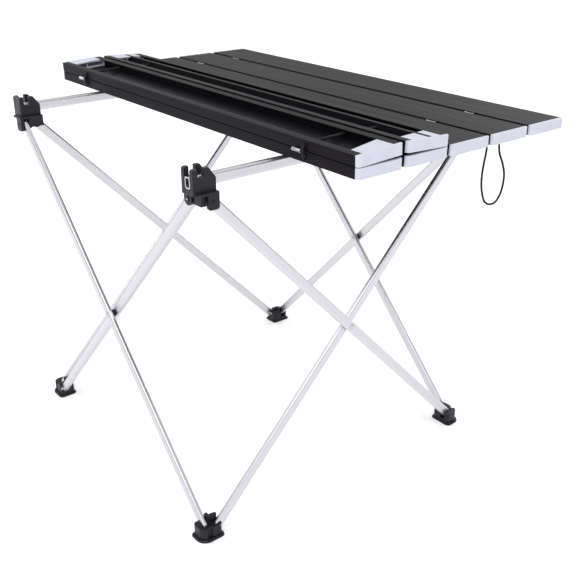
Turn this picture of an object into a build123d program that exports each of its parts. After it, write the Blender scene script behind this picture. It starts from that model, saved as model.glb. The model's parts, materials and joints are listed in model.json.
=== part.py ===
from build123d import *
import math
import os

# Roll-top folding side table. Millimetres, +Z up, +X along the slats.
# The frame is four pairs of crossed legs in a square, tied by two crossbars that run along Y.
# Slats 1 to 5 lie flat on the crossbars; slats 6 and 7 are folded back over slats 5 and 4.

# ---- driving dimensions: top ----
SLAT_COUNT = 7
PITCH = 60.0  # slat to slat, along Y
SLAT_WIDTH = 55.0
SLAT_LENGTH = 575.0  # over the end caps
SLAT_HEIGHT = 10.5
SHEET = 1.2  # wall of the slat extrusion
SLAT_ROUND = 0.8  # radius along the two upper edges
LIP = 7.0  # inward lip under each side wall
LEDGE = 1.2  # small ledge along the inside of each side wall
LEDGE_HEIGHT = (7.1, 8.1)  # above the slat's underside
TOP_Z = 413.5  # upper face of the flat slats
CAP_PLATE = 4.0
CAP_REACH = 22.0  # how far a cap's tongue reaches into its slat
CAP_SLANT = 7.0  # the tongue's inner end is this much longer on one side
CAP_PLUG_BACK = 6.0  # the hollow plug is this much shorter than the tongue
CAP_PLUG_WALL = 1.4
CAP_PLUG_FLOOR = 1.3
CAP_FIT = 0.2
CAP_CORNER = 3.6
SEAM_RISE = 0.3  # hinge line above the upper face
FOLD_TILT = 2.6  # degrees that the folded slats lean, as a shallow roof
CORD_X = 216.0  # shock cords and seam barrels, each side of the middle
CORD_RADIUS = 1.5
CORD_HOLE = 2.0
CORD_HEIGHT = 4.35  # cord centre above the slat's underside
SEAM_NOTCH = (6.0, 0.7, 2.6)  # length, depth and height of the notch above each cord hole
BARREL_LENGTH = 12.0
BARREL_RADIUS = 2.1
BARREL_BORE = 1.1
BARREL_SIDE = 1.0  # between a barrel and its cord
BARREL_DROP = 2.3  # barrel centre below the upper face at a flat seam
RAIL_Y = 186.0  # snap rail of the two end slats, from the frame's middle
RAIL_WIDTH = 5.0
RAIL_WALL = 1.1
RAIL_FOOT = 0.3  # rail's lower face above the slat's underside

# ---- driving dimensions: frame ----
PIVOT_HALF = 177.0  # leg end pivots from the middle, along their own side
OUTER_PLANE = 192.0  # middle plane of the outer leg of each side
INNER_PLANE = 183.8
HUB_PIVOT_Z = 379.5
FOOT_PIVOT_Z = 12.3
LEG_WIDTH = 11.0
LEG_THICKNESS = 6.0
LEG_WALL = 1.0
LEG_CORNER = 2.4
RIVET_RADIUS = 2.0
RUNNING = 0.05  # radial clearance of a leg on its rivet
OPEN_PIVOT = 0.4  # radial clearance where the linkage is opened
RIVET_HEAD = (3.0, 0.8)  # radius and height of the shown rivet heads
WASHER_RADIUS = 6.0
CROSS_HEAD_RADIUS = 3.4
CROSS_HEAD_REACH = 1.4  # crossing rivet heads, out from the leg faces
CROSS_GAP = 0.1
LUG_RADIUS = 6.0
LUG = 3.6
LEG_SIDE_GAP = 0.4
DECK_Z = (386.2, 388.6)
HUB_TOP = 410.5
BAR_X = 185.0
BAR_WIDTH = 8.0
BAR_HEIGHT = 11.0
BAR_WALL = 1.2
BAR_CORNER = 2.2
BAR_SHORT = 0.3  # free end short of the saddle's front
BAR_Z = 397.2  # centre of the crossbars
BAR_PIN_Y = 186.0
BAR_PIN_RADIUS = 1.25
SADDLE_WALL = 4.8
SADDLE_GAP = 0.4  # each side of a crossbar in its slot
SADDLE_FRONT = 195.5
SADDLE_STOP = 3.4  # front wall of a pinned slot
SADDLE_BACK = 171.0
SADDLE_SLOPE = (7.5, 10.0)  # run and drop of the saddle's sloping back
SADDLE_BEVEL = 1.5
NOTCH_Y = (183.2, 190.4)  # wider in front of the rail, which swings forward as it lifts out
NOTCH_FLOOR = 400.6
SKIRT_LOW = 376.0  # lower face of the corner skirt and core that join the ears
SKIRT_INSET = (1.8, 3.0)  # skirt's faces behind the ears' outer faces
SKIRT_GAP = 0.8  # from the round leg ends to the skirt
SQUARE_EAR_LOW = 372.0
FOOT_FLARE = ((173.7, 204.0), (168.4, 192.7))  # across the outer leg's plane, then across the inner leg's
FOOT_BLOCK = ((175.6, 201.2), (170.4, 189.8))
FOOT_TOP = 15.6
FOOT_BACK_TOP = 22.0
FOOT_DIP = 18.0  # core between its two peaks
SOLE_HEIGHT = 2.4
SOLE_CORNER = 5.0
SOLE_FRONT_CORNER = 12.0
SOLE_BEVEL = 1.4
FOOT_CORNER = 4.0
FOOT_FRONT_CORNER = 9.0
FOOT_CORE_CORNER = 2.0
FOOT_PEAK = 4.2  # thickness of the core's raised sides
FOOT_GROOVE = (191.6, 190.0, 3.0)  # place and radius of the groove between the two sockets
FOOT_ROOM = 0.9  # round a leg's end in its socket
FOOT_PIN_GRIP = 3.0  # how far a foot's rivet reaches past the leg's room
FOOT_SKIN = 0.6  # plastic left over the rivet's outer end
PAST = 1.0  # how far a cutting solid stands out of what it cuts

# ---- tie cord ----
TIE_RADIUS = 1.1
TIE_X = 274.0
TIE_Y = 110.0
TIE_TURN = (0.45, 0.89)  # the loop hangs in the upright plane along this line
ARC_SHARE = 0.45  # of the shorter run, taken by each bend

SEAM_Z = TOP_Z + SEAM_RISE
UNDER_Z = TOP_Z - SLAT_HEIGHT
LEG_MIDDLE_Z = (HUB_PIVOT_Z + FOOT_PIVOT_Z) / 2
LEG_RUN = 2 * PIVOT_HALF
LEG_DROP = HUB_PIVOT_Z - FOOT_PIVOT_Z
LEG_LENGTH = math.hypot(LEG_RUN, LEG_DROP)
LEG_SLOPE = math.degrees(math.atan2(LEG_DROP, LEG_RUN))
SLAT_EDGE = (SLAT_COUNT * PITCH - (PITCH - SLAT_WIDTH)) / 2  # outer edge of slat 1
SHIFT_Y = (FOOT_FLARE[0][1] - SLAT_EDGE) / 2  # puts the origin under the middle of the bounding box


def block(x, y, z):
    """A box from three (low, high) pairs."""
    middle = [(pair[0] + pair[1]) / 2 for pair in (x, y, z)]
    sides = [pair[1] - pair[0] for pair in (x, y, z)]
    return Pos(*middle) * Box(*sides)


def rod_x(radius, x, y, z):
    """A cylinder along X from x[0] to x[1]."""
    return Pos((x[0] + x[1]) / 2, y, z) * Rot(0, 90, 0) * Cylinder(radius, x[1] - x[0])


def rod_y(radius, x, y, z):
    """A cylinder along Y from y[0] to y[1]."""
    return Pos(x, (y[0] + y[1]) / 2, z) * Rot(90, 0, 0) * Cylinder(radius, y[1] - y[0])


def about_seam(shape, y, degrees):
    """Turns a shape about the hinge line that runs along X at this Y."""
    return Pos(0, y, SEAM_Z) * Rot(degrees, 0, 0) * Pos(0, -y, -SEAM_Z) * shape


def seam_y(number):
    """The hinge line between slat number and the next one, with all slats flat."""
    return ((SLAT_COUNT + 1) / 2 - number - 0.5) * PITCH


def slat_y(number):
    return ((SLAT_COUNT + 1) / 2 - number) * PITCH


FOLD_Y = seam_y(5)
SECOND_FOLD_Y = seam_y(6)
FOLD_ANGLE = 180 - FOLD_TILT
LEVEL_ANGLE = 2 * FOLD_TILT


def store(shape, number):
    """Puts a shape made on the flat top where its slat lies: slats 6 and 7 are folded over."""
    if number == 7:
        shape = about_seam(shape, SECOND_FOLD_Y, -LEVEL_ANGLE)
    if number >= 6:
        shape = about_seam(shape, FOLD_Y, -FOLD_ANGLE)
    return shape


def rail_side(number):
    """+1 on slat 1, -1 on slat 7, 0 on the slats with no snap rail."""
    return {1: 1, SLAT_COUNT: -1}.get(number, 0)


def slat(number):
    """A channel, open below, with lips, ledges, cord holes and seam notches."""
    half = SLAT_WIDTH / 2
    length = SLAT_LENGTH - 2 * CAP_PLATE
    x = (-length / 2, length / 2)
    body = block(x, (-half, half), (0, SLAT_HEIGHT))
    body = fillet(body.edges().filter_by(Axis.X).group_by(Axis.Z)[-1], SLAT_ROUND)
    body -= block(x, (-half + SHEET, half - SHEET), (SHEET, SLAT_HEIGHT - SHEET))
    body -= block(x, (-half + SHEET + LIP, half - SHEET - LIP), (-PAST, SHEET + PAST))
    inside = half - SHEET
    root = inside + SHEET / 6
    body += block(x, (-root, -inside + LEDGE), LEDGE_HEIGHT)
    body += block(x, (inside - LEDGE, root), LEDGE_HEIGHT)
    side = rail_side(number)
    if side:
        middle = side * (RAIL_Y - slat_y(1))
        hollow = RAIL_WIDTH / 2 - RAIL_WALL
        top = SLAT_HEIGHT - SHEET
        rail = block(x, (middle - RAIL_WIDTH / 2, middle + RAIL_WIDTH / 2), (RAIL_FOOT, top + SHEET / 6))
        body += rail - block(x, (middle - hollow, middle + hollow), (RAIL_FOOT + RAIL_WALL, top))
    notch_length, notch_depth, notch_height = SEAM_NOTCH
    notch_z = (SLAT_HEIGHT - notch_height, SLAT_HEIGHT + PAST)
    for cord_x in (-CORD_X, CORD_X):
        body -= rod_y(CORD_HOLE, cord_x, (-half - PAST, half + PAST), CORD_HEIGHT)
        notch_x = (cord_x - notch_length / 2, cord_x + notch_length / 2)
        for edge in (-half, half):
            body -= block(notch_x, (edge - notch_depth, edge + notch_depth), notch_z)
    return Pos(0, slat_y(number), UNDER_Z) * body


def cap(number, end):
    """An end cap: rounded outer plate, hollow plug and the tongue between the lips."""
    half = SLAT_WIDTH / 2
    inner_x = SLAT_LENGTH / 2 - CAP_PLATE
    plate = block((inner_x, SLAT_LENGTH / 2), (-half, half), (0, SLAT_HEIGHT))
    corners = plate.edges().filter_by(Axis.Z).group_by(Axis.X)[-1]
    plate = fillet(corners, CAP_CORNER)
    mouth = half - SHEET - LIP - CAP_FIT
    reach = inner_x - CAP_REACH
    root = inner_x + PAST
    tongue_outline = [(root, -mouth), (root, mouth), (reach + CAP_SLANT, mouth), (reach, -mouth)]
    tongue = extrude(Pos(0, 0, CAP_FIT) * make_face(Polyline(*tongue_outline, close=True)), SHEET)
    inside = half - SHEET - LEDGE - CAP_FIT
    plug_x = reach + CAP_PLUG_BACK
    plug_z = (SHEET + CAP_FIT / 2, SLAT_HEIGHT - SHEET - CAP_FIT / 2)
    hollow = inside - CAP_PLUG_WALL
    hollow_z = (plug_z[0] + CAP_PLUG_FLOOR, plug_z[1] - SHEET)
    plug = block((plug_x, root), (-inside, inside), plug_z)
    plug -= block((plug_x - PAST, inner_x), (-hollow, hollow), hollow_z)
    rib = block((plug_x + PAST / 2, root - PAST / 2), (-CAP_PLUG_WALL / 2, CAP_PLUG_WALL / 2), plug_z)
    body = plate + tongue + plug + rib
    side = rail_side(number)
    if side:
        middle = side * (RAIL_Y - slat_y(1)) * end
        slot = RAIL_WIDTH / 2 + 2 * CAP_FIT
        body -= block((reach - PAST, inner_x), (middle - slot, middle + slot), (-PAST, SLAT_HEIGHT - SHEET))
    body = Rot(0, 0, 0 if end > 0 else 180) * body
    return Pos(0, slat_y(number), UNDER_Z) * body


def cord_run(number, cord_x):
    """The stretch of shock cord inside one slat, ending flush with its side walls."""
    half = SLAT_WIDTH / 2
    y = (slat_y(number) - half, slat_y(number) + half)
    return rod_y(CORD_RADIUS, cord_x, y, UNDER_Z + CORD_HEIGHT)


def barrel(number, cord_x):
    """An aluminium tube beside the cord on seam number; the folded seam's lies on the hinge line."""
    z = SEAM_Z if number == 5 else TOP_Z - BARREL_DROP
    beside = cord_x - CORD_RADIUS - BARREL_SIDE
    x = (beside - BARREL_LENGTH, beside)
    long_x = (x[0] - PAST, x[1] + PAST)
    return rod_x(BARREL_RADIUS, x, seam_y(number), z) - rod_x(BARREL_BORE, long_x, seam_y(number), z)


def leg(outer, open_top, open_foot):
    """A flat oval tube on the near side, round at both ends, with three rivet holes."""
    long_half = LEG_LENGTH / 2
    outline = extrude(Plane.XZ * SlotCenterToCenter(LEG_LENGTH, LEG_WIDTH), LEG_THICKNESS, both=True)
    oval = RectangleRounded(LEG_THICKNESS, LEG_WIDTH, LEG_CORNER)
    bore_corner = LEG_CORNER - 0.9 * LEG_WALL
    bore = RectangleRounded(LEG_THICKNESS - 2 * LEG_WALL, LEG_WIDTH - 2 * LEG_WALL, bore_corner)
    body = outline & extrude(Plane.YZ * oval, LEG_LENGTH, both=True)
    body -= extrude(Plane.YZ * bore, LEG_LENGTH, both=True)
    clearances = ((-long_half, open_top), (0, False), (long_half, open_foot))
    for x, is_open in clearances:
        gap = OPEN_PIVOT if is_open else RUNNING
        body -= rod_y(RIVET_RADIUS + gap, x, (-LEG_THICKNESS, LEG_THICKNESS), 0)
    slope = LEG_SLOPE if outer else 180 - LEG_SLOPE
    plane = OUTER_PLANE if outer else INNER_PLANE
    return Pos(0, -plane, LEG_MIDDLE_Z) * Rot(0, slope, 0) * body


def cross_pivot():
    """The spacer washer and rivet where the two legs of a side cross."""
    head, gap = CROSS_HEAD_REACH, CROSS_GAP
    outer_face = -OUTER_PLANE - LEG_THICKNESS / 2
    inner_face = -INNER_PLANE + LEG_THICKNESS / 2
    washer_y = (-OUTER_PLANE + LEG_THICKNESS / 2 + gap, -INNER_PLANE - LEG_THICKNESS / 2 - gap)
    body = rod_y(RIVET_RADIUS, 0, (outer_face - head, inner_face + head), LEG_MIDDLE_Z)
    body += rod_y(WASHER_RADIUS, 0, washer_y, LEG_MIDDLE_Z)
    body += rod_y(CROSS_HEAD_RADIUS, 0, (outer_face - head, outer_face - gap), LEG_MIDDLE_Z)
    body += rod_y(CROSS_HEAD_RADIUS, 0, (inner_face + gap, inner_face + head), LEG_MIDDLE_Z)
    return body


def lug(y):
    """A hanging ear round a leg pivot on the near left corner, between two Y values."""
    ear = block((-PIVOT_HALF - LUG_RADIUS, -PIVOT_HALF + LUG_RADIUS), y, (HUB_PIVOT_Z, DECK_Z[1]))
    return ear + rod_y(LUG_RADIUS, -PIVOT_HALF, y, HUB_PIVOT_Z)


def lug_pair(plane):
    """Inner and outer ear either side of a leg whose middle plane is y = -plane."""
    near = LEG_THICKNESS / 2 + LEG_SIDE_GAP
    outer_ear = (-plane - near - LUG, -plane - near)
    inner_ear = (-plane + near, -plane + near + LUG)
    return lug(outer_ear), lug(inner_ear)


MIRROR_CORNER = Plane(origin=(0, 0, 0), z_dir=(1, -1, 0))


def hub(quarter):
    """A corner hub: two leg clevises and a skirt below, a crossbar saddle with a rail notch above."""
    near = LEG_THICKNESS / 2 + LEG_SIDE_GAP
    low_edge = -OUTER_PLANE - near - LUG
    side_edge = -INNER_PLANE - near - LUG
    high_edge = -PIVOT_HALF + LUG_RADIUS
    body = block((side_edge, high_edge), (low_edge, high_edge), DECK_Z)
    for ear in lug_pair(OUTER_PLANE):
        body += ear
    for ear in lug_pair(INNER_PLANE):
        body += mirror(ear, about=MIRROR_CORNER)
    ear_x = (-PIVOT_HALF - LUG_RADIUS, high_edge)
    square_ear = block(ear_x, (low_edge, low_edge + LUG), (SQUARE_EAR_LOW, DECK_Z[1]))
    body += chamfer(square_ear.edges().filter_by(Axis.Y).group_by(Axis.Z)[0], SKIRT_INSET[0])
    tip = -PIVOT_HALF - LEG_WIDTH / 2 - SKIRT_GAP
    skirt_x = (side_edge + SKIRT_INSET[0], tip)
    body += block(skirt_x, (low_edge + SKIRT_INSET[1], tip), (SKIRT_LOW, DECK_Z[1]))
    core_low = -INNER_PLANE + near, -OUTER_PLANE + near
    body += block((core_low[0], high_edge), (core_low[1], high_edge), (SKIRT_LOW, DECK_Z[1]))
    hole_y = (low_edge - PAST, -OUTER_PLANE + near + LUG + PAST)
    hole_x = (side_edge - PAST, -INNER_PLANE + near + LUG + PAST)
    body -= rod_y(RIVET_RADIUS, -PIVOT_HALF, hole_y, HUB_PIVOT_Z)
    body -= rod_x(RIVET_RADIUS, hole_x, -PIVOT_HALF, HUB_PIVOT_Z)
    body = Rot(0, 0, 90 * quarter) * body
    return body + saddle(quarter)


def saddle(quarter):
    """The upper half of a hub: a slot along Y for the crossbar and a notch along X for the rail."""
    sign_x = 1 if quarter in (1, 2) else -1
    sign_y = 1 if quarter in (2, 3) else -1
    pinned = quarter in (0, 2)
    run, drop = SADDLE_SLOPE
    outline = [
        (SADDLE_FRONT, DECK_Z[0]), (SADDLE_FRONT, HUB_TOP - SADDLE_BEVEL),
        (SADDLE_FRONT - SADDLE_BEVEL, HUB_TOP), (SADDLE_BACK + run, HUB_TOP),
        (SADDLE_BACK, HUB_TOP - drop), (SADDLE_BACK, DECK_Z[0]),
    ]
    gap = BAR_WIDTH / 2 + SADDLE_GAP
    half = gap + SADDLE_WALL
    profile = make_face(Polyline(*[(sign_y * v, z) for v, z in outline], close=True))
    body = Pos(sign_x * BAR_X, 0, 0) * extrude(Plane.YZ * profile, half, both=True)
    slot_x = (sign_x * BAR_X - gap, sign_x * BAR_X + gap)
    front = SADDLE_FRONT - SADDLE_STOP if pinned else SADDLE_FRONT + PAST
    slot_y = sorted((sign_y * (SADDLE_BACK - PAST), sign_y * front))
    body -= block(slot_x, slot_y, (BAR_Z - BAR_HEIGHT / 2 - SADDLE_GAP / 2, HUB_TOP + PAST))
    notch_radius = (NOTCH_Y[1] - NOTCH_Y[0]) / 2
    notch_z = NOTCH_FLOOR + notch_radius
    notch_x = (sign_x * BAR_X - half - PAST, sign_x * BAR_X + half + PAST)
    notch_y = sorted((sign_y * NOTCH_Y[0], sign_y * NOTCH_Y[1]))
    body -= rod_x(notch_radius, notch_x, sum(notch_y) / 2, notch_z)
    body -= block(notch_x, notch_y, (notch_z, HUB_TOP + PAST))
    if pinned:
        body -= rod_x(BAR_PIN_RADIUS, notch_x, sign_y * BAR_PIN_Y, BAR_Z)
    return body


def rivet(plane, z, head):
    """A rivet through the near-side leg whose middle plane is y = -plane, at x = -PIVOT_HALF."""
    near = LEG_THICKNESS / 2 + LEG_SIDE_GAP
    face = -plane - near - LUG
    body = rod_y(RIVET_RADIUS, -PIVOT_HALF, (face, -plane + near + LUG), z)
    if head:
        head_radius, head_height = RIVET_HEAD
        body += rod_y(head_radius, -PIVOT_HALF, (face - head_height, face), z)
    return body


def hub_rivets(quarter):
    """The two leg rivets of a hub and, where a crossbar is pinned to it, the crossbar's pin."""
    pins = rivet(OUTER_PLANE, HUB_PIVOT_Z, False)
    pins += mirror(rivet(INNER_PLANE, HUB_PIVOT_Z, True), about=MIRROR_CORNER)
    solids = list((Rot(0, 0, 90 * quarter) * pins).solids())
    if quarter in (0, 2):
        sign = 1 if quarter == 2 else -1
        half = BAR_WIDTH / 2 + SADDLE_GAP / 2 + SADDLE_WALL
        x = (sign * BAR_X - half, sign * BAR_X + half)
        solids.append(rod_x(BAR_PIN_RADIUS, x, sign * BAR_PIN_Y, BAR_Z))
    return Compound(solids)


def rounded_block(plan, z, corner, front_corner):
    """A foot's block with upright edges rounded, most of all at the table's outer corner."""
    (near_x, far_x), (near_y, far_y) = plan
    body = block((-far_x, -near_x), (-far_y, -near_y), z)
    uprights = body.edges().filter_by(Axis.Z).sort_by(lambda edge: edge.center().X + edge.center().Y)
    body = fillet(uprights[0], front_corner)
    uprights = body.edges().filter_by(Axis.Z).sort_by(lambda edge: edge.center().X + edge.center().Y)
    return fillet(uprights[2:], corner)


def foot(quarter):
    """A foot with a flared sole, two leg sockets, a core that peaks beside each leg, and rivet holes."""
    near = LEG_THICKNESS / 2 + LEG_SIDE_GAP
    sole = rounded_block(FOOT_FLARE, (0, SOLE_HEIGHT), SOLE_CORNER, SOLE_FRONT_CORNER)
    sole = chamfer(sole.faces().sort_by(Axis.Z)[-1].edges(), SOLE_BEVEL)
    body = rounded_block(FOOT_BLOCK, (SOLE_HEIGHT / 2, FOOT_TOP), FOOT_CORNER, FOOT_FRONT_CORNER)
    core_x = (-OUTER_PLANE + near, -FOOT_BLOCK[0][0] - PAST)
    core_y = (-INNER_PLANE + near, -FOOT_BLOCK[1][0] - PAST)
    core = block(core_x, core_y, (FOOT_TOP / 2, FOOT_BACK_TOP))
    core = fillet(core.edges().filter_by(Axis.Z), FOOT_CORE_CORNER)
    core -= block((core_x[0] + FOOT_PEAK, 0), (core_y[0] + FOOT_PEAK, 0), (FOOT_DIP, FOOT_BACK_TOP + PAST))
    groove_x, groove_y, groove_radius = FOOT_GROOVE
    groove = Pos(-groove_x, -groove_y, SOLE_HEIGHT + FOOT_TOP / 2) * Cylinder(groove_radius, FOOT_TOP)
    body = (body - groove) + core + sole
    for plane, flip in ((INNER_PLANE, False), (OUTER_PLANE, True)):
        socket = foot_socket(plane)
        body -= mirror(socket, about=MIRROR_CORNER) if flip else socket
    return Rot(0, 0, 90 * quarter) * body


def foot_socket(plane):
    """The room for one near-side leg end, open above and towards the middle, and its rivet hole."""
    near = LEG_THICKNESS / 2 + LEG_SIDE_GAP
    y = (-plane - near, -plane + near)
    radius = LEG_WIDTH / 2 + FOOT_ROOM
    above = FOOT_BACK_TOP + PAST
    room = block((-PIVOT_HALF - radius, 0), y, (FOOT_PIVOT_Z, above))
    room += block((-PIVOT_HALF, 0), y, (FOOT_PIVOT_Z - radius, above))
    room += rod_y(radius, -PIVOT_HALF, y, FOOT_PIVOT_Z)
    pin_y = foot_pin_y(plane)
    return room + rod_y(RIVET_RADIUS, -PIVOT_HALF, pin_y, FOOT_PIVOT_Z)


def foot_pin_y(plane):
    """A foot rivet runs from near the foot's outer face to a little past the leg."""
    reach = LEG_THICKNESS / 2 + LEG_SIDE_GAP + FOOT_PIN_GRIP
    face = FOOT_BLOCK[0][1] if plane == OUTER_PLANE else FOOT_BLOCK[1][1]
    return (max(-plane - reach, -face + FOOT_SKIN), -plane + reach)


def foot_rivets(quarter):
    pins = rod_y(RIVET_RADIUS, -PIVOT_HALF, foot_pin_y(INNER_PLANE), FOOT_PIVOT_Z)
    side = rod_y(RIVET_RADIUS, -PIVOT_HALF, foot_pin_y(OUTER_PLANE), FOOT_PIVOT_Z)
    pins = [pins, mirror(side, about=MIRROR_CORNER)]
    return Compound([Rot(0, 0, 90 * quarter) * pin for pin in pins])


def crossbar(sign):
    """A flat tube along Y, pinned at one end (round there) and open at the other."""
    pin_y = sign * BAR_PIN_Y
    free_y = -sign * (SADDLE_FRONT - BAR_SHORT)
    y = sorted((pin_y, free_y))
    length = y[1] - y[0]
    oval = RectangleRounded(BAR_WIDTH, BAR_HEIGHT, BAR_CORNER)
    bore = RectangleRounded(BAR_WIDTH - 2 * BAR_WALL, BAR_HEIGHT - 2 * BAR_WALL, BAR_CORNER - BAR_WALL)
    round_end = BAR_HEIGHT / 2
    middle = (y[0] + y[1]) / 2
    body = Pos(0, middle, 0) * extrude(Plane.XZ * oval, length / 2 + BAR_HEIGHT, both=True)
    keep = block((-BAR_WIDTH, BAR_WIDTH), y, (-BAR_HEIGHT, BAR_HEIGHT))
    keep += rod_x(round_end, (-BAR_WIDTH, BAR_WIDTH), pin_y, 0)
    body &= keep
    body -= Pos(0, middle, 0) * extrude(Plane.XZ * bore, length / 2 + BAR_HEIGHT, both=True)
    body -= rod_x(BAR_PIN_RADIUS + RUNNING, (-BAR_WIDTH, BAR_WIDTH), pin_y, 0)
    return Pos(sign * BAR_X, 0, BAR_Z) * body


def tie_cord():
    """The tie loop under slat 2: straight runs and tangent arcs, both ends on the cap's underside."""
    end_z = UNDER_Z + CAP_FIT
    route = [
        (-6.0, end_z), (-6.0, 392.5), (-7.6, 381.0), (-8.6, 369.0), (-8.4, 357.5), (-6.4, 346.5),
        (-2.2, 335.8), (7.9, 334.6), (13.9, 344.6), (15.9, 355.6), (16.2, 367.0), (12.6, 379.5),
        (6.8, 391.5), (6.8, end_z),
    ]
    route = [(TIE_X + TIE_TURN[0] * s, TIE_Y + TIE_TURN[1] * s, z) for s, z in route]
    points = [Vector(*point) for point in route]
    radii = []
    for before, here, after in zip(points, points[1:], points[2:]):
        turn = (here - before).get_angle(after - here)
        shorter = min((here - before).length, (after - here).length)
        radii.append(ARC_SHARE * shorter / math.tan(math.radians(turn) / 2))
    print("tie cord radii:", [round(radius, 1) for radius in radii])
    path = FilletPolyline(*points, radius=radii)
    start = Plane(origin=path @ 0, z_dir=path % 0)
    tube = sweep(start * Circle(TIE_RADIUS), path=path)
    expected = math.pi * TIE_RADIUS**2 * path.length
    print(f"tie cord length {path.length:.1f}, volume {tube.volume:.0f}, expected {expected:.0f}")
    return tube


def build():
    """Every node by name, with the folded slats in place."""
    nodes = {}
    for number in range(1, SLAT_COUNT + 1):
        nodes[f"slat_{number}"] = store(slat(number), number)
        caps = [store(cap(number, end), number) for end in (-1, 1)]
        nodes[f"slat_{number}_caps"] = Compound(caps)
        cords = [store(cord_run(number, x), number) for x in (-CORD_X, CORD_X)]
        nodes[f"slat_{number}_cords"] = Compound(cords)
    for number in range(1, SLAT_COUNT):
        tubes = [store(barrel(number, x), number) for x in (-CORD_X, CORD_X)]
        nodes[f"seam_{number}_barrels"] = Compound(tubes)
    nodes["tie_cord"] = tie_cord()

    hubs = ("near_left", "near_right", "far_right", "far_left")
    sides = ("near", "right", "far", "left")
    for quarter, (corner, side) in enumerate(zip(hubs, sides)):
        nodes[f"hub_{corner}"] = hub(quarter)
        nodes[f"hub_{corner}_rivets"] = hub_rivets(quarter)
        nodes[f"foot_{corner}"] = foot(quarter)
        nodes[f"foot_{corner}_rivets"] = foot_rivets(quarter)
        turn = Rot(0, 0, 90 * quarter)
        open_inner_top = side == "far"
        open_inner_foot = side in ("right", "far")
        open_outer_foot = side in ("left", "far")
        nodes[f"leg_{side}_outer"] = turn * leg(True, False, open_outer_foot)
        nodes[f"leg_{side}_inner"] = turn * leg(False, open_inner_top, open_inner_foot)
        nodes[f"cross_pivot_{side}"] = turn * cross_pivot()
    nodes["crossbar_right"] = crossbar(1)
    nodes["crossbar_left"] = crossbar(-1)
    return nodes


os.makedirs("parts", exist_ok=True)
for name, shape in build().items():
    export_step(Pos(0, SHIFT_Y, 0) * shape, f"parts/{name}.step")
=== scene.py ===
"""Looks for the roll-top side table, laid out as an add-on and run as a script.

Every length is in metres unless its name ends in MM. The frame's solids stay where they are; the
operators below give them their finishes and build the pieces that need a finer shape.
"""

import json
import math

import bmesh
import bpy
import numpy as np
from bpy.props import FloatProperty, FloatVectorProperty, IntProperty, PointerProperty
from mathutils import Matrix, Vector


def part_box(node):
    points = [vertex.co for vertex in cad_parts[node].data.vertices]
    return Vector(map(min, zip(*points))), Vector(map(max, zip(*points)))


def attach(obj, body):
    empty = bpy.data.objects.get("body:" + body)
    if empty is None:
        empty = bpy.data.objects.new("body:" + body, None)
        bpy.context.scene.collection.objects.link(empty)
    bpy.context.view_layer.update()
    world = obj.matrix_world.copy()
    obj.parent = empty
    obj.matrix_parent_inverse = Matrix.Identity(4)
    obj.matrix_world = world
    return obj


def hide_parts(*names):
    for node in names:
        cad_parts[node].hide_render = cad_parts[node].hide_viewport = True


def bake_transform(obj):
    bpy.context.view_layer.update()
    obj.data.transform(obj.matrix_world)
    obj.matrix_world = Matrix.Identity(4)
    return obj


bl_info = {
    "name": "Roll-top side table",
    "version": (1, 0, 0),
    "blender": (4, 5, 0),
    "location": "View3D > Sidebar > Side table",
    "description": "Builds the finishes, cords, rivets and moulded parts of a roll-top side table",
    "category": "Add Mesh",
}

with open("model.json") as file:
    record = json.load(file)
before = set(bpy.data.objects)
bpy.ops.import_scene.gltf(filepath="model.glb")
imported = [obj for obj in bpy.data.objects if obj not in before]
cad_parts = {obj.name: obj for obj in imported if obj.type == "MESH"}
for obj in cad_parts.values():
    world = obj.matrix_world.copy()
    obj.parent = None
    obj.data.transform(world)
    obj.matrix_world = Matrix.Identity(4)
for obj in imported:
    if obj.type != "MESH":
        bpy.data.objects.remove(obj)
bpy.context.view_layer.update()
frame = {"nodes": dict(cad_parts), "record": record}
NODES = frame["nodes"]
BODIES = frame["record"]["behaviour"]["bodies"]
BODY_OF = {node: body for body, nodes in BODIES.items() for node in nodes}

SLATS = range(1, 8)
SEAMS = range(1, 7)
TURN_SEAM = 5  # the top is folded over on itself here
CORNERS = ("near_left", "near_right", "far_right", "far_left")
SIDES = ("near", "right", "far", "left")
MM = 0.001
SHIFT_Y = -1.75 * MM  # the frame's middle, from the origin

# Frame sizes, from the frame's own middle
PIVOT_HALF = 177 * MM
OUTER_PLANE = 192 * MM
INNER_PLANE = 183.8 * MM
LEG_HALF = 3 * MM  # half the leg's thickness
LUG_REACH = 7 * MM  # lug face from the leg's middle plane
HUB_PIVOT_Z = 379.5 * MM
CROSS_Z = 195.9 * MM
BAR_X = 185 * MM
BAR_PIN_Y = 186 * MM
BAR_Z = 397.2 * MM
SADDLE_HALF = 9.2 * MM
SOLE_CORNER = 5 * MM
SOLE_FRONT_CORNER = 12 * MM
SOLE_BEAD = 0.75 * MM  # radius of the rubber bead round a sole

# Small turned pieces; a head is its radius, its height and the height of its upright rim
LINK_OVERLAP = 1.2 * MM  # a cord link's reach into each slat
LINK_BULGE = 2.6 * MM  # how far a folded link stands out of its seam
BARREL_BORE = 1.1 * MM
BARREL_BEVEL = 0.35 * MM
BARREL_WAIST = 0.25 * MM  # depth of the waist
LEG_HEAD = (2.0 * MM, 0.7 * MM, 0.2 * MM)
SIDE_HEAD = (3.0 * MM, 0.8 * MM, 0.3 * MM)
HEAD_MIDDLE = (0.9 * MM, 0.35 * MM, 0.1 * MM)
CROSS_HEAD = (3.4 * MM, 1.4 * MM, 0.4 * MM)
SINK = 0.1 * MM  # a rivet's bright middle lies this deep in its head
HUB_SHANK = 1.9 * MM
BAR_PIN = 1.25 * MM
BAR_PIN_SHORT = 0.2 * MM  # each pin end behind the saddle's face
CROSS_SHANK = 1.95 * MM
WASHER = 4.5 * MM
WASHER_BORE = 2.1 * MM
WASHER_BEVEL = 0.3 * MM
WASHER_GAP = 0.1 * MM

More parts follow.
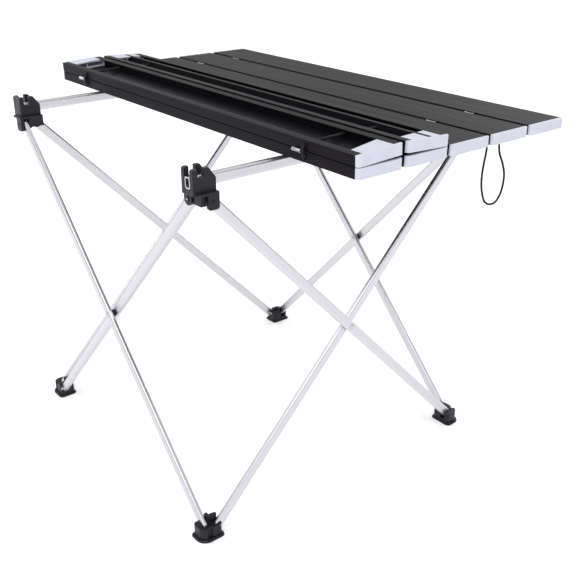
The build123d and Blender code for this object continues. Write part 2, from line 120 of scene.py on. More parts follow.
# The stage
SKY = 0.85
SKY_SEEN = 1.0  # how bright the sky looks behind the table
FLOOR_GLOW = 0.28
FLOOR_HALF = 6.0
FLOOR_DROP = 0.2 * MM  # the floor lies this far under the soles
FOCAL_LENGTH_MM = 53.12
SENSOR_MM = 36.0
CAMERA_PLACE = (0.7961, -0.5732 + SHIFT_Y, 0.6251)
CAMERA_TARGET = (-0.0607, 0.1152 + SHIFT_Y, 0.1181)

# The tie loop: its upright plane and the points of its route in that plane
TIE_X = 274 * MM
TIE_Y = 110 * MM + SHIFT_Y
TIE_TURN = (0.45, 0.89)
TIE_ROUTE = [
    (-6.0, 403.2), (-6.0, 392.5), (-7.6, 381.0), (-8.6, 369.0), (-8.4, 357.5), (-6.4, 346.5),
    (-2.2, 335.8), (7.9, 334.6), (13.9, 344.6), (15.9, 355.6), (16.2, 367.0), (12.6, 379.5),
    (6.8, 391.5), (6.8, 403.2),
]


# ---- user settings ----

class TableFinishes(bpy.types.PropertyGroup):
    """Colours of the table's finishes."""

    slat: FloatVectorProperty(
        name="Slats", description="Black anodised slats", subtype="COLOR", size=3, min=0, max=1,
        default=(0.0090, 0.0078, 0.0104),
    )
    cap: FloatVectorProperty(
        name="End caps", description="Pale plastic of the end caps", subtype="COLOR", size=3, min=0, max=1,
        default=(0.60, 0.61, 0.71),
    )
    aluminium: FloatVectorProperty(
        name="Tubes", description="Satin legs and crossbars", subtype="COLOR", size=3, min=0, max=1,
        default=(0.63, 0.625, 0.665),
    )
    black: FloatVectorProperty(
        name="Hubs and feet", description="Black moulded plastic", subtype="COLOR", size=3, min=0, max=1,
        default=(0.0105, 0.0098, 0.0130),
    )
    cord: FloatVectorProperty(
        name="Cords", description="Black braided cords", subtype="COLOR", size=3, min=0, max=1,
        default=(0.008, 0.008, 0.009),
    )
    sole: FloatVectorProperty(
        name="Sole rims", description="Dark red-brown rubber", subtype="COLOR", size=3, min=0, max=1,
        default=(0.030, 0.012, 0.014),
    )


class TableSizes(bpy.types.PropertyGroup):
    """Small sizes of the pieces that are built here."""

    hub_round: FloatProperty(
        name="Hub edges", description="Radius on the hubs' moulded edges", unit="LENGTH", min=0.0001,
        max=0.001, default=0.7 * MM,
    )
    foot_round: FloatProperty(
        name="Foot edges", description="Radius on the feet's moulded edges", unit="LENGTH", min=0.0001,
        max=0.001, default=0.8 * MM,
    )
    cap_round: FloatProperty(
        name="Cap edges", description="Radius on the end caps' edges", unit="LENGTH", min=0.0001,
        max=0.001, default=0.35 * MM,
    )
    cord_radius: FloatProperty(
        name="Shock cord", description="Radius of the shock cord", unit="LENGTH", min=0.0005,
        max=0.003, default=1.5 * MM,
    )
    tie_radius: FloatProperty(
        name="Tie loop", description="Radius of the tie loop's cord", unit="LENGTH", min=0.0005,
        max=0.003, default=1.1 * MM,
    )
    round_steps: IntProperty(
        name="Steps", description="Faces round each small turned piece", min=8, max=96, default=40,
    )


# ---- shader node helpers ----

def add(tree, kind, **values):
    """A new node; each value goes to the attribute or the input socket of that name."""
    node = tree.nodes.new(kind)
    for name, value in values.items():
        if hasattr(node, name):
            setattr(node, name, value)
        else:
            node.inputs[name.replace("_", " ")].default_value = value
    return node


def new_group(name, inputs, outputs):
    """An empty shader node group with named sockets, and its own input and output nodes."""
    tree = bpy.data.node_groups.new(name, "ShaderNodeTree")
    for socket, kind, default in inputs:
        made = tree.interface.new_socket(socket, in_out="INPUT", socket_type=kind)
        if default is not None:
            made.default_value = default
    for socket, kind in outputs:
        tree.interface.new_socket(socket, in_out="OUTPUT", socket_type=kind)
    return tree, tree.nodes.new("NodeGroupInput"), tree.nodes.new("NodeGroupOutput")


def extrusion_lines_group():
    """Fine die lines: noise that is long along X and short across it, plus broad soft bands."""
    inputs = [("Vector", "NodeSocketVector", None), ("Fineness", "NodeSocketFloat", 900.0)]
    outputs = [("Mask", "NodeSocketFloat"), ("Bands", "NodeSocketFloat")]
    tree, source, result = new_group("extrusion lines", inputs, outputs)
    stretch = add(tree, "ShaderNodeVectorMath", operation="MULTIPLY")
    stretch.inputs[1].default_value = (0.004, 1.0, 1.0)
    fine = add(tree, "ShaderNodeTexNoise", Detail=3.0, Roughness=0.6)
    broad = add(tree, "ShaderNodeTexNoise", Scale=55.0, Detail=2.0)
    tree.links.new(source.outputs["Vector"], stretch.inputs[0])
    tree.links.new(stretch.outputs[0], fine.inputs["Vector"])
    tree.links.new(stretch.outputs[0], broad.inputs["Vector"])
    tree.links.new(source.outputs["Fineness"], fine.inputs["Scale"])
    tree.links.new(fine.outputs["Fac"], result.inputs["Mask"])
    tree.links.new(broad.outputs["Fac"], result.inputs["Bands"])
    return tree


def moulded_grain_group():
    """The fine spark-eroded texture of moulded plastic, and slow mottling for dust and handling."""
    inputs = [("Vector", "NodeSocketVector", None), ("Fineness", "NodeSocketFloat", 2600.0)]
    outputs = [("Grain", "NodeSocketFloat"), ("Mottle", "NodeSocketFloat")]
    tree, source, result = new_group("moulded grain", inputs, outputs)
    fine = add(tree, "ShaderNodeTexNoise", Detail=4.0, Roughness=0.7)
    slow = add(tree, "ShaderNodeTexNoise", Scale=90.0, Detail=5.0, Roughness=0.62)
    for node in (fine, slow):
        tree.links.new(source.outputs["Vector"], node.inputs["Vector"])
    tree.links.new(source.outputs["Fineness"], fine.inputs["Scale"])
    tree.links.new(fine.outputs["Fac"], result.inputs["Grain"])
    tree.links.new(slow.outputs["Fac"], result.inputs["Mottle"])
    return tree


def braid_group():
    """Two families of diagonal strands round a cord, the higher one showing at each point."""
    inputs = [
        ("UV", "NodeSocketVector", None),
        ("Along", "NodeSocketFloat", 1.0),
        ("Around", "NodeSocketFloat", 5.0),
    ]
    tree, source, result = new_group("braid", inputs, [("Height", "NodeSocketFloat")])
    parts = add(tree, "ShaderNodeSeparateXYZ")
    tree.links.new(source.outputs["UV"], parts.inputs[0])
    scaled = []
    for axis, socket in (("X", "Along"), ("Y", "Around")):
        node = add(tree, "ShaderNodeMath", operation="MULTIPLY")
        tree.links.new(parts.outputs[axis], node.inputs[0])
        tree.links.new(source.outputs[socket], node.inputs[1])
        turns = add(tree, "ShaderNodeMath", operation="MULTIPLY")
        turns.inputs[1].default_value = math.tau
        tree.links.new(node.outputs[0], turns.inputs[0])
        scaled.append(turns)
    waves = []
    for operation in ("ADD", "SUBTRACT"):
        mixed = add(tree, "ShaderNodeMath", operation=operation)
        tree.links.new(scaled[0].outputs[0], mixed.inputs[0])
        tree.links.new(scaled[1].outputs[0], mixed.inputs[1])
        wave = add(tree, "ShaderNodeMath", operation="SINE")
        tree.links.new(mixed.outputs[0], wave.inputs[0])
        waves.append(wave)
    high = add(tree, "ShaderNodeMath", operation="MAXIMUM")
    tree.links.new(waves[0].outputs[0], high.inputs[0])
    tree.links.new(waves[1].outputs[0], high.inputs[1])
    tree.links.new(high.outputs[0], result.inputs["Height"])
    return tree


def group(name):
    """The shared node group of this name, made on first use."""
    makers = {
        "extrusion lines": extrusion_lines_group,
        "moulded grain": moulded_grain_group,
        "braid": braid_group,
    }
    return bpy.data.node_groups.get(name) or makers[name]()


class Finish:
    """A material in the making: its tree, its Principled BSDF and the group that drives it."""

    def __init__(self, name, group_name):
        self.material = bpy.data.materials.new(name)
        self.material.use_nodes = True
        self.tree = self.material.node_tree
        self.shader = self.tree.nodes["Principled BSDF"]
        self.place = add(self.tree, "ShaderNodeTexCoord")
        self.pattern = add(self.tree, "ShaderNodeGroup", node_tree=group(group_name))

    def socket(self, name, value):
        self.shader.inputs[name].default_value = value

    def at_object(self, turn=(0, 0, 0)):
        """The pattern reads Object coordinates, turned so that its X runs along the piece."""
        mapping = add(self.tree, "ShaderNodeMapping")
        mapping.inputs["Rotation"].default_value = turn
        self.tree.links.new(self.place.outputs["Object"], mapping.inputs["Vector"])
        self.tree.links.new(mapping.outputs[0], self.pattern.inputs[0])

    def at_uv(self):
        self.tree.links.new(self.place.outputs["UV"], self.pattern.inputs[0])

    def spread(self, mask, target, low, high, span=(0.35, 0.65)):
        """Carries a mask to a shader input as a colour or a value between low and high."""
        is_value = np.isscalar(low)
        ramp = add(self.tree, "ShaderNodeMapRange" if is_value else "ShaderNodeValToRGB")
        if is_value:
            for socket, value in zip(("From Min", "From Max", "To Min", "To Max"), (*span, low, high)):
                ramp.inputs[socket].default_value = value
            source, result = ramp.inputs["Value"], ramp.outputs["Result"]
        else:
            ends = ramp.color_ramp.elements
            for end, position, colour in zip(ends, span, (low, high)):
                end.position = position
                end.color = (*colour, 1)
            source, result = ramp.inputs["Fac"], ramp.outputs["Color"]
        self.tree.links.new(self.pattern.outputs[mask], source)
        self.tree.links.new(result, self.shader.inputs[target])

    def bump(self, mask, depth, strength):
        node = add(self.tree, "ShaderNodeBump", Distance=depth, Strength=strength)
        self.tree.links.new(self.pattern.outputs[mask], node.inputs["Height"])
        self.tree.links.new(node.outputs[0], self.shader.inputs["Normal"])


def shade(colour, factor):
    return tuple(min(1.0, value * factor) for value in colour)


def anodised_slat(colour):
    finish = Finish("black anodised slat", "extrusion lines")
    finish.at_object()
    finish.socket("Specular IOR Level", 0.06)
    finish.socket("Specular Tint", (0.92, 0.86, 1.0, 1))
    finish.spread("Bands", "Base Color", shade(colour, 0.82), shade(colour, 1.25))
    finish.spread("Mask", "Roughness", 0.36, 0.50)
    finish.bump("Mask", 0.00003, 0.35)
    return finish.material


def satin_tube(name, colour, turn):
    finish = Finish(name, "extrusion lines")
    finish.at_object(turn)
    finish.pattern.inputs["Fineness"].default_value = 1500.0
    finish.socket("Metallic", 1.0)
    finish.spread("Bands", "Base Color", shade(colour, 0.93), shade(colour, 1.05))
    finish.spread("Mask", "Roughness", 0.25, 0.36)
    finish.bump("Mask", 0.00002, 0.12)
    return finish.material


def turned_metal(name, colour, roughness):
    finish = Finish(name, "extrusion lines")
    finish.at_object((0, 0, math.pi / 2))
    finish.pattern.inputs["Fineness"].default_value = 4000.0
    finish.socket("Metallic", 1.0)
    finish.spread("Bands", "Base Color", shade(colour, 0.85), colour)
    finish.spread("Mask", "Roughness", roughness, roughness + 0.15)
    finish.bump("Mask", 0.00002, 0.3)
    return finish.material


def moulded_plastic(name, colour, roughness, depth, mottle=0.13):
    finish = Finish(name, "moulded grain")
    finish.at_object()
    finish.socket("Specular IOR Level", 0.3)
    finish.socket("Specular Tint", (0.93, 0.90, 1.0, 1))
    finish.spread("Mottle", "Base Color", shade(colour, 1 - mottle), shade(colour, 1 + mottle))
    finish.spread("Mottle", "Roughness", roughness - 0.05, roughness + 0.08)
    finish.bump("Grain", depth, 0.45)
    return finish.material


def braided_cord(name, colour, along, around):
    finish = Finish(name, "braid")
    finish.at_uv()
    finish.pattern.inputs["Along"].default_value = along
    finish.pattern.inputs["Around"].default_value = around
    finish.socket("Specular IOR Level", 0.3)
    # painted shade and highlight: the base colour is darkened in the grooves between strands and lightened on
    # the strand crowns, following the braid's height
    finish.spread("Height", "Base Color", shade(colour, 0.5), shade(colour, 2.2), (0.0, 1.0))
    finish.spread("Height", "Roughness", 0.85, 0.62, (0.0, 1.0))
    finish.bump("Height", 0.0002, 0.8)
    return finish.material


def finishes():
    return bpy.context.scene.table_finishes


def sizes():
    return bpy.context.scene.table_sizes


def once(name, maker, *values):
    """The material of this name, made on first use."""
    return bpy.data.materials.get(name) or maker(*values)


def black_plastic():
    name = "black moulded plastic"
    return once(name, moulded_plastic, name, finishes().black, 0.42, 0.00006)


def rivet_steel():
    return once("rivet steel", turned_metal, "rivet steel", (0.62, 0.62, 0.64), 0.24)


def dark_rivet():
    return once("blackened rivet", turned_metal, "blackened rivet", (0.035, 0.034, 0.037), 0.34)


# ---- mesh helpers ----

def object_of(name, mesh, material, node=None, body=None, replaces=()):
    """Links a mesh as a piece on its CAD body, at the origin, with its finish and the nodes it stands for."""
    mesh.materials.clear()
    mesh.materials.append(material)
    piece = bpy.data.objects.new(name, mesh)
    bpy.context.scene.collection.objects.link(piece)
    if node or body:
        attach(piece, body or BODY_OF[node])
    if replaces:
        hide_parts(*replaces)
    return piece


def sheet_faces(rows, columns, wrap_rows, wrap_columns):
    """Quads of a grid of points, four point numbers each; a wrapped side joins its other end."""
    row = np.arange(rows if wrap_rows else rows - 1)
    column = np.arange(columns if wrap_columns else columns - 1)
    low, left = np.meshgrid(row, column, indexing="ij")
    high, right = (low + 1) % rows, (left + 1) % columns
    corners = (low, left), (low, right), (high, right), (high, left)
    return np.stack([row * columns + column for row, column in corners], -1).reshape(-1, 4)


def mesh_from(name, parts, uvs=None):
    """One smooth mesh from (points, quads) arrays, with its doubles merged and its faces turned outwards."""
    points = np.concatenate([part[0] for part in parts])
    starts = np.cumsum([0] + [len(part[0]) for part in parts[:-1]])
    quads = np.concatenate([part[1] + start for part, start in zip(parts, starts)])
    mesh = bpy.data.meshes.new(name)
    mesh.from_pydata(points.tolist(), [], quads.tolist())
    if uvs is not None:
        layer = mesh.uv_layers.new(name="UVMap")
        layer.data.foreach_set("uv", np.concatenate(uvs).reshape(-1).astype(np.float32))
    build = bmesh.new()
    build.from_mesh(mesh)
    bmesh.ops.remove_doubles(build, verts=build.verts, dist=1e-7)
    bmesh.ops.recalc_face_normals(build, faces=build.faces)
    build.to_mesh(mesh)
    build.free()
    mesh.shade_smooth()
    mesh.set_sharp_from_angle(angle=math.radians(38))
    return mesh


def basis(axis):
    """Two unit vectors square to the axis."""
    axis = np.asarray(axis, float) / np.linalg.norm(axis)
    helper = np.array([0.0, 0.0, 1.0]) if abs(axis[2]) < 0.9 else np.array([1.0, 0.0, 0.0])
    first = np.cross(axis, helper)
    first /= np.linalg.norm(first)
    return axis, first, np.cross(axis, first)


def turned(profile, centre, axis, steps, closed=False):
    """A turned shape: point(i, t) = centre + height_i * axis + radius_i * (cos t * first + sin t * second)

    where first and second are square to the axis and to each other.
    """
    axis, first, second = basis(axis)
    radius, height = np.asarray(profile, float).T
    turn = np.linspace(0, math.tau, steps, endpoint=False)
    ring = np.cos(turn)[:, None] * first + np.sin(turn)[:, None] * second
    points = np.asarray(centre) + height[:, None, None] * axis + radius[:, None, None] * ring
    return points.reshape(-1, 3), sheet_faces(len(radius), steps, closed, True)


def dome_profile(radius, height, rim):
    """A rivet head: an upright rim, then a quarter ellipse up to the middle, and flat underneath."""
    sweep = np.linspace(0, math.pi / 2, 9)
    dome = np.stack([radius * np.cos(sweep), rim + (height - rim) * np.sin(sweep)], -1)
    return np.concatenate([[(0.0, 0.0), (radius, 0.0)], dome])


def tube(path, radius, steps=14):
    """A round tube: point(i, t) = path_i + radius * (cos t * side_i + sin t * up_i), with closed ends."""
    path = np.asarray(path, float)
    along = np.gradient(path, axis=0)
    along /= np.linalg.norm(along, axis=1)[:, None]
    side = np.cross(along, np.array([1.0, 0.0, 0.0]))
    side /= np.linalg.norm(side, axis=1)[:, None]
    up = np.cross(along, side)
    turn = np.linspace(0, math.tau, steps, endpoint=False)
    ring = np.cos(turn)[None, :, None] * side[:, None] + np.sin(turn)[None, :, None] * up[:, None]
    ends = np.repeat(path[[0, -1], None], steps, axis=1)
    points = np.concatenate([ends[:1], path[:, None] + radius * ring, ends[1:]])
    run = np.concatenate([[0], np.cumsum(np.linalg.norm(np.diff(path, axis=0), axis=1))])
    distance = np.concatenate([run[:1], run, run[-1:]]) / (math.tau * radius)
    row, column = np.meshgrid(np.arange(len(points) - 1), np.arange(steps), indexing="ij")
    corners = ((row, column), (row, column + 1), (row + 1, column + 1), (row + 1, column))
    uv = np.stack([np.stack([distance[i], j / steps], -1) for i, j in corners], 2)
    return points.reshape(-1, 3), sheet_faces(len(points), steps, False, True), uv.reshape(-1, 2)


def softened(node, name, width, material):
    """A copy of a moulded solid, its triangles rejoined and its hard edges rounded, in place of the node."""
    mesh = NODES[node].data.copy()
    build = bmesh.new()
    build.from_mesh(mesh)
    bmesh.ops.remove_doubles(build, verts=build.verts, dist=2e-6)
    bmesh.ops.dissolve_limit(
        build, angle_limit=math.radians(0.6), use_dissolve_boundaries=False,
        verts=build.verts, edges=build.edges,
    )
    build.to_mesh(mesh)
    build.free()
    mesh.shade_smooth()
    mesh.set_sharp_from_angle(angle=math.radians(32))
    piece = object_of(name, mesh, material, node=node, replaces=[node])
    bevel = piece.modifiers.new("moulded edges", "BEVEL")
    bevel.width = width
    bevel.segments = 3
    bevel.limit_method = "ANGLE"
    bevel.angle_limit = math.radians(32)
    bevel.harden_normals = True
    return piece


def corner_point(x, y, z, quarter):
    """A point given on the near left corner, turned by quarter turns round the frame's middle."""
    for _ in range(quarter):
        x, y = -y, x
    return np.array([x, y + SHIFT_Y, z])


def corner_axis(x, y, quarter):
    for _ in range(quarter):
        x, y = -y, x
    return np.array([x, y, 0.0])


def use_finish(node, material):
    NODES[node].data.materials.clear()
    NODES[node].data.materials.append(material)


def points_of(node):
    mesh = NODES[node].data
    points = np.empty(len(mesh.vertices) * 3)
    mesh.vertices.foreach_get("co", points)
    return points.reshape(-1, 3)


# ---- operators: the top ----

class TABLE_OT_slats(bpy.types.Operator):
    """Gives the seven slats their black anodised finish with die lines along their length"""

    bl_idname = "table.slats"
    bl_label = "Slats"

    def execute(self, context):
        material = once("black anodised slat", anodised_slat, finishes().slat)
        for number in SLATS:
            use_finish(f"slat_{number}", material)
        return {"FINISHED"}


class TABLE_OT_caps(bpy.types.Operator):
    """Builds the moulded end caps with softened edges"""

    bl_idname = "table.caps"
    bl_label = "End caps"

    def execute(self, context):
        name, width = "pale cap plastic", sizes().cap_round
        material = once(name, moulded_plastic, name, finishes().cap, 0.45, 0.00003, 0.03)
        for number in SLATS:
            softened(f"slat_{number}_caps", f"end_caps_{number}", width, material)
        return {"FINISHED"}


def rod_end(node, side, low):
    """The middle of one end of a slat's straight cord: side is the sign of x, low picks its low-y end."""
    points = points_of(node)
    points = points[points[:, 0] * side > 0]
    edge = points[:, 1].min() if low else points[:, 1].max()
    return points[np.abs(points[:, 1] - edge) < 0.3 * MM].mean(axis=0)


def link_path(start, end, folded):
    """From one cord end to the next: straight across a flat seam, round a half ellipse at a folded one."""
    steps = np.linspace(0, 1, 17)[:, None]
    if not folded:
        direction = (end - start) / np.linalg.norm(end - start)
        return (start - LINK_OVERLAP * direction) + steps * (end - start + 2 * LINK_OVERLAP * direction)
    middle, half = (start + end) / 2, (end - start) / 2
    bulge = np.array([0.0, -LINK_BULGE, 0.0])
    turn = steps * math.pi
    arc = middle - np.cos(turn) * half + np.sin(turn) * bulge
    inward = np.array([[0.0, LINK_OVERLAP, 0.0]])
    return np.concatenate([start + inward, arc, end + inward])


class TABLE_OT_cords(bpy.types.Operator):
    """Builds the shock cords that tie the slats together, across each seam and inside each slat"""

    bl_idname = "table.cords"
    bl_label = "Shock cords"

    def execute(self, context):
        radius = sizes().cord_radius
        material = once("shock cord braid", braided_cord, "shock cord braid", finishes().cord, 2.0, 6.0)
        for number in SLATS:
            parts, uvs = [], []
            for side in (-1, 1):
                ends = [rod_end(f"slat_{number}_cords", side, low) for low in (True, False)]
                path = ends[0] + np.linspace(0, 1, 24)[:, None] * (ends[1] - ends[0])
                points, quads, uv = tube(path, radius)
                parts.append((points, quads))
                uvs.append(uv)
            mesh = mesh_from(f"cord_in_slat_{number}", parts, uvs)
            node = f"slat_{number}_cords"
            object_of(mesh.name, mesh, material, node=node, replaces=[node])
        for number in SEAMS:
            self.links(number, radius, material)
        return {"FINISHED"}

    def links(self, number, radius, material):
        """The cord runs from each slat's near edge to the next one's far edge, until the top turns back."""
        here, there = f"slat_{number}", f"slat_{number + 1}"
        here_low, there_low = number < TURN_SEAM + 1, number >= TURN_SEAM
        for side, word in ((-1, "left"), (1, "right")):
            start = rod_end(f"{here}_cords", side, here_low)
            end = rod_end(f"{there}_cords", side, there_low)
            points, quads, uv = tube(link_path(start, end, number == TURN_SEAM), radius)
            mesh = mesh_from(f"cord_link_{number}_{word}", [(points, quads)], [uv])
            piece = object_of(mesh.name, mesh, material)
            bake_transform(piece)


def barrel_profile(outer, bore, length):
    """A turned sleeve's closed section: rounded rims, a shallow waist and a straight bore."""
    half = length / 2
    bevel = BARREL_BEVEL
    waist = outer - BARREL_WAIST
    return [
        (bore, -half + bevel), (bore + bevel, -half), (outer - bevel, -half), (outer, -half + bevel),
        (outer, -half * 0.72), (waist, -half * 0.60), (waist, half * 0.60), (outer, half * 0.72),
        (outer, half - bevel), (outer - bevel, half), (bore + bevel, half), (bore, half - bevel),
    ]


class TABLE_OT_barrels(bpy.types.Operator):
    """Builds the turned aluminium sleeves that lie beside the cords in the seams"""

    bl_idname = "table.barrels"
    bl_label = "Seam sleeves"

    def execute(self, context):
        material = once("turned aluminium", turned_metal, "turned aluminium", (0.50, 0.50, 0.52), 0.22)
        for number in SEAMS:
            node = f"seam_{number}_barrels"
            parts = []
            points = points_of(node)
            for side in (-1, 1):
                mine = points[points[:, 0] * side > 0]
                low, high = mine.min(axis=0), mine.max(axis=0)
                profile = barrel_profile((high[2] - low[2]) / 2, BARREL_BORE, high[0] - low[0])
                steps = sizes().round_steps
                parts.append(turned(profile, (low + high) / 2, (1, 0, 0), steps, closed=True))
            mesh = mesh_from(f"seam_sleeves_{number}", parts)
            object_of(mesh.name, mesh, material, node=node, replaces=[node])
        return {"FINISHED"}


class TABLE_OT_tie_loop(bpy.types.Operator):
    """Builds the cord loop that ties the rolled top, hanging under the second slat's end"""

    bl_idname = "table.tie_loop"
    bl_label = "Tie loop"

    def execute(self, context):
        data = bpy.data.curves.new("tie_loop", "CURVE")
        data.dimensions = "3D"
        data.bevel_depth = sizes().tie_radius
        data.bevel_resolution = 5
        data.resolution_u = 10
        data.use_fill_caps = True
        spline = data.splines.new("NURBS")
        spline.points.add(len(TIE_ROUTE) - 1)
        for point, (along, z) in zip(spline.points, TIE_ROUTE):
            x = TIE_X + TIE_TURN[0] * along * MM
            y = TIE_Y + TIE_TURN[1] * along * MM
            point.co = (x, y, z * MM, 1)
        spline.order_u = 3
        spline.use_endpoint_u = True
        name = "tie loop braid"
        data.materials.append(once(name, braided_cord, name, finishes().cord, 42.0, 4.0))
        loop = bpy.data.objects.new("tie_loop", data)
        context.scene.collection.objects.link(loop)
        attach(loop, "slat_2")
        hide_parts("tie_cord")
        return {"FINISHED"}


# ---- operators: the frame ----

class TABLE_OT_tubes(bpy.types.Operator):
    """Gives the legs and crossbars their satin finish, with die lines along each tube"""

    bl_idname = "table.tubes"
    bl_label = "Legs and crossbars"

    def execute(self, context):
        names = [f"leg_{side}_{place}" for side in SIDES for place in ("outer", "inner")]
        for node in names + ["crossbar_right", "crossbar_left"]:
            points = points_of(node)
            run = np.linalg.svd(points - points.mean(axis=0), full_matrices=False)[2][0]
            turn = Vector(run).to_track_quat("X", "Z").inverted().to_euler()
            use_finish(node, satin_tube(f"satin {node}", finishes().aluminium, turn))
        return {"FINISHED"}


class TABLE_OT_hubs(bpy.types.Operator):
    """Builds the four corner hubs with softened moulded edges, and their rivets and crossbar pins"""

    bl_idname = "table.hubs"
    bl_label = "Hubs"

    def execute(self, context):
        for quarter, corner in enumerate(CORNERS):
            width, material = sizes().hub_round, black_plastic()
            softened(f"hub_{corner}", f"hub_shell_{corner}", width, material)
            self.rivets(quarter, corner)
        return {"FINISHED"}

    def rivets(self, quarter, corner):
        steps = sizes().round_steps
        head = dome_profile(*LEG_HEAD)
        big_head = dome_profile(*SIDE_HEAD)
        button = dome_profile(*HEAD_MIDDLE)
        shank = [(0, 0), (HUB_SHANK, 0), (HUB_SHANK, 2 * LUG_REACH), (0, 2 * LUG_REACH)]
        places = [
            ((-PIVOT_HALF, -OUTER_PLANE, HUB_PIVOT_Z), (0, -1), head),
            ((-INNER_PLANE, -PIVOT_HALF, HUB_PIVOT_Z), (-1, 0), big_head),
        ]
        parts, buttons = [], []
        for (x, y, z), (out_x, out_y), profile in places:
            out = corner_axis(out_x, out_y, quarter)
            middle = corner_point(x, y, z, quarter)
            parts.append(turned(profile, middle + LUG_REACH * out, out, steps))
            if profile is big_head:
                crown = LUG_REACH + profile[-1][1] - SINK
                buttons.append(turned(button, middle + crown * out, out, steps))
            parts.append(turned(head, middle - LUG_REACH * out, -out, steps))
            parts.append(turned(shank, middle - LUG_REACH * out, out, steps))
        if quarter in (0, 2):
            sign = 1 if quarter == 2 else -1
            middle = np.array([sign * BAR_X, sign * BAR_PIN_Y + SHIFT_Y, BAR_Z])
            reach = SADDLE_HALF - BAR_PIN_SHORT
            pin = [(0, -reach), (BAR_PIN, -reach), (BAR_PIN, reach), (0, reach)]
            parts.append(turned(pin, middle, (1, 0, 0), steps))
        node = f"hub_{corner}_rivets"
        mesh = mesh_from(f"hub_pins_{corner}", parts)
        object_of(mesh.name, mesh, dark_rivet(), node=node, replaces=[node])
        mesh = mesh_from(f"hub_pin_middles_{corner}", buttons)
        object_of(mesh.name, mesh, rivet_steel(), node=node)


def sole_rim(corner):
    """A rubber bead round a sole: a small circle carried round a rectangle with rounded corners."""
    low, high = (np.array(end)[:2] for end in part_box(f"foot_{corner}"))
    middle, half = (low + high) / 2, (high - low) / 2
    sweep = np.linspace(0, math.pi / 2, 16)
    turn = (np.arange(4)[:, None] * math.pi / 2 + sweep).reshape(-1, 1)
    signs = np.repeat([(1, 1), (-1, 1), (-1, -1), (1, -1)], len(sweep), axis=0)
    front = (signs == np.sign(middle)).all(axis=1, keepdims=True)
    radius = np.where(front, SOLE_FRONT_CORNER, SOLE_CORNER)
    out = np.concatenate([np.cos(turn), np.sin(turn)], -1)
    line = middle + signs * (half - radius) + (radius - SOLE_BEAD) * out
    around = np.linspace(0, math.tau, 14, endpoint=False)
    flat = line[:, None] + SOLE_BEAD * np.cos(around)[None, :, None] * out[:, None]
    z = np.broadcast_to(SOLE_BEAD + SOLE_BEAD * np.sin(around), flat.shape[:2])[..., None]
    points = np.concatenate([flat, z], -1).reshape(-1, 3)
    return points, sheet_faces(len(line), len(around), True, True)


class TABLE_OT_feet(bpy.types.Operator):
    """Builds the four feet with softened moulded edges and a rubber bead round each sole"""

    bl_idname = "table.feet"
    bl_label = "Feet"

    def execute(self, context):
        rubber = once("sole rubber", moulded_plastic, "sole rubber", finishes().sole, 0.6, 0.00008)
        for corner in CORNERS:
            width, material = sizes().foot_round, black_plastic()
            softened(f"foot_{corner}", f"foot_shell_{corner}", width, material)
            use_finish(f"foot_{corner}_rivets", rivet_steel())
            mesh = mesh_from(f"sole_bead_{corner}", [sole_rim(corner)])
            object_of(mesh.name, mesh, rubber, node=f"foot_{corner}")
        return {"FINISHED"}


class TABLE_OT_crossings(bpy.types.Operator):
    """Builds the spacer washer and the domed rivet where the two legs of each side cross"""

    bl_idname = "table.crossings"
    bl_label = "Leg crossings"

    def execute(self, context):
        steps = sizes().round_steps
        middle = -(OUTER_PLANE + INNER_PLANE) / 2
        gap = (OUTER_PLANE - INNER_PLANE) / 2 - LEG_HALF - WASHER_GAP
        bore, bevel = WASHER_BORE, WASHER_BEVEL
        washer = [
            (bore, -gap + bevel), (bore + bevel, -gap), (WASHER - bevel, -gap), (WASHER, -gap + bevel),
            (WASHER, gap - bevel), (WASHER - bevel, gap), (bore + bevel, gap), (bore, gap - bevel),
        ]
        reach = (OUTER_PLANE - INNER_PLANE) / 2 + LEG_HALF
        head = dome_profile(*CROSS_HEAD)
        shank = [(0, -reach), (CROSS_SHANK, -reach), (CROSS_SHANK, reach), (0, reach)]
        for quarter, side in enumerate(SIDES):
            node = f"cross_pivot_{side}"
            centre = corner_point(0, middle, CROSS_Z, quarter)
            out = corner_axis(0, -1, quarter)
            disc = mesh_from(f"cross_washer_{side}", [turned(washer, centre, out, steps, closed=True)])
            object_of(disc.name, disc, black_plastic(), node=node, replaces=[node])
            parts = [
                turned(head, centre + reach * out, out, steps),
                turned(head, centre - reach * out, -out, steps),
                turned(shank, centre, out, steps),
            ]
            rivet = mesh_from(f"cross_rivet_{side}", parts)
            object_of(rivet.name, rivet, rivet_steel(), node=node)
        return {"FINISHED"}


# ---- the stage ----

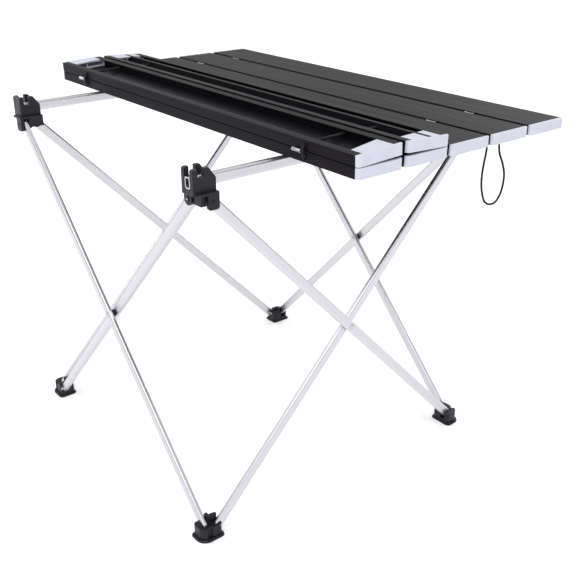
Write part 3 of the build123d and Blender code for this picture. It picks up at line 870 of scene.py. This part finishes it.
class TABLE_OT_stage(bpy.types.Operator):
    """Makes the pale floor, the soft studio lights and the camera"""

    bl_idname = "table.stage"
    bl_label = "Stage"

    def execute(self, context):
        self.floor(context)
        self.lights(context)
        self.camera(context)
        return {"FINISHED"}

    def floor(self, context):
        """A flat floor, a square grid just under the soles."""
        across = np.linspace(-FLOOR_HALF, FLOOR_HALF, 25)
        mesh = bpy.data.meshes.new("floor")
        x, y = np.meshgrid(across, across, indexing="ij")
        points = np.stack([x, y, np.full_like(x, -FLOOR_DROP)], -1).reshape(-1, 3)
        quads = sheet_faces(len(across), len(across), False, False)[:, ::-1]
        mesh.from_pydata(points.tolist(), [], quads.tolist())
        material = moulded_plastic("pale floor", (0.90, 0.90, 0.905), 0.8, 0.00001)
        shader = material.node_tree.nodes["Principled BSDF"]
        shader.inputs["Emission Color"].default_value = (1.0, 1.0, 1.0, 1)
        shader.inputs["Emission Strength"].default_value = FLOOR_GLOW
        mesh.materials.append(material)
        floor = bpy.data.objects.new("floor", mesh)
        context.scene.collection.objects.link(floor)

    def lights(self, context):
        world = bpy.data.worlds.new("studio")
        world.use_nodes = True
        tree = world.node_tree
        background = tree.nodes["Background"]
        background.inputs["Color"].default_value = (1.0, 1.0, 1.0, 1)
        seen = add(tree, "ShaderNodeLightPath")
        strength = add(tree, "ShaderNodeMapRange")
        strength.inputs["To Min"].default_value = SKY
        strength.inputs["To Max"].default_value = SKY_SEEN
        tree.links.new(seen.outputs["Is Camera Ray"], strength.inputs["Value"])
        tree.links.new(strength.outputs["Result"], background.inputs["Strength"])
        context.scene.world = world
        context.scene.view_settings.view_transform = "Standard"
        middle = Vector((0, 0, 0.25))
        lamps = (
            ("key", (1.4, -1.6, 2.2), 1.8, 22),
            ("side", (-2.0, -0.8, 1.3), 1.6, 8),
            ("back", (-0.6, 2.2, 1.9), 2.0, 14),
        )
        for name, place, size, power in lamps:
            data = bpy.data.lights.new(name, "AREA")
            data.shape = "DISK"
            data.size = size
            data.energy = power
            lamp = bpy.data.objects.new(name, data)
            lamp.location = place
            lamp.rotation_euler = (middle - Vector(place)).to_track_quat("-Z", "Y").to_euler()
            context.scene.collection.objects.link(lamp)

    def camera(self, context):
        data = bpy.data.cameras.new("camera")
        data.lens = FOCAL_LENGTH_MM
        data.sensor_width = SENSOR_MM
        camera = bpy.data.objects.new("camera", data)
        place, target = Vector(CAMERA_PLACE), Vector(CAMERA_TARGET)
        camera.location = place
        camera.rotation_euler = (target - place).to_track_quat("-Z", "Y").to_euler()
        context.scene.collection.objects.link(camera)
        context.scene.camera = camera


OPERATORS = (
    TABLE_OT_stage, TABLE_OT_tie_loop, TABLE_OT_slats, TABLE_OT_caps, TABLE_OT_cords, TABLE_OT_barrels,
    TABLE_OT_tubes, TABLE_OT_hubs, TABLE_OT_feet, TABLE_OT_crossings,
)


class TABLE_PT_panel(bpy.types.Panel):
    """Lists the table's pieces and settings in the sidebar"""

    bl_idname = "TABLE_PT_panel"
    bl_label = "Side table"
    bl_space_type = "VIEW_3D"
    bl_region_type = "UI"
    bl_category = "Side table"

    def draw(self, context):
        for operator in OPERATORS:
            self.layout.operator(operator.bl_idname)
        for group_of_values in (context.scene.table_finishes, context.scene.table_sizes):
            for name in group_of_values.bl_rna.properties.keys():
                if name not in ("rna_type", "name"):
                    self.layout.prop(group_of_values, name)


CLASSES = (TableFinishes, TableSizes, *OPERATORS, TABLE_PT_panel)


def register():
    for each in CLASSES:
        bpy.utils.register_class(each)
    bpy.types.Scene.table_finishes = PointerProperty(type=TableFinishes)
    bpy.types.Scene.table_sizes = PointerProperty(type=TableSizes)


def unregister():
    del bpy.types.Scene.table_sizes
    del bpy.types.Scene.table_finishes
    for each in reversed(CLASSES):
        bpy.utils.unregister_class(each)


def main():
    register()
    for operator in OPERATORS:
        getattr(bpy.ops.table, operator.bl_idname.split(".")[1])()


if __name__ == "__main__":
    main()
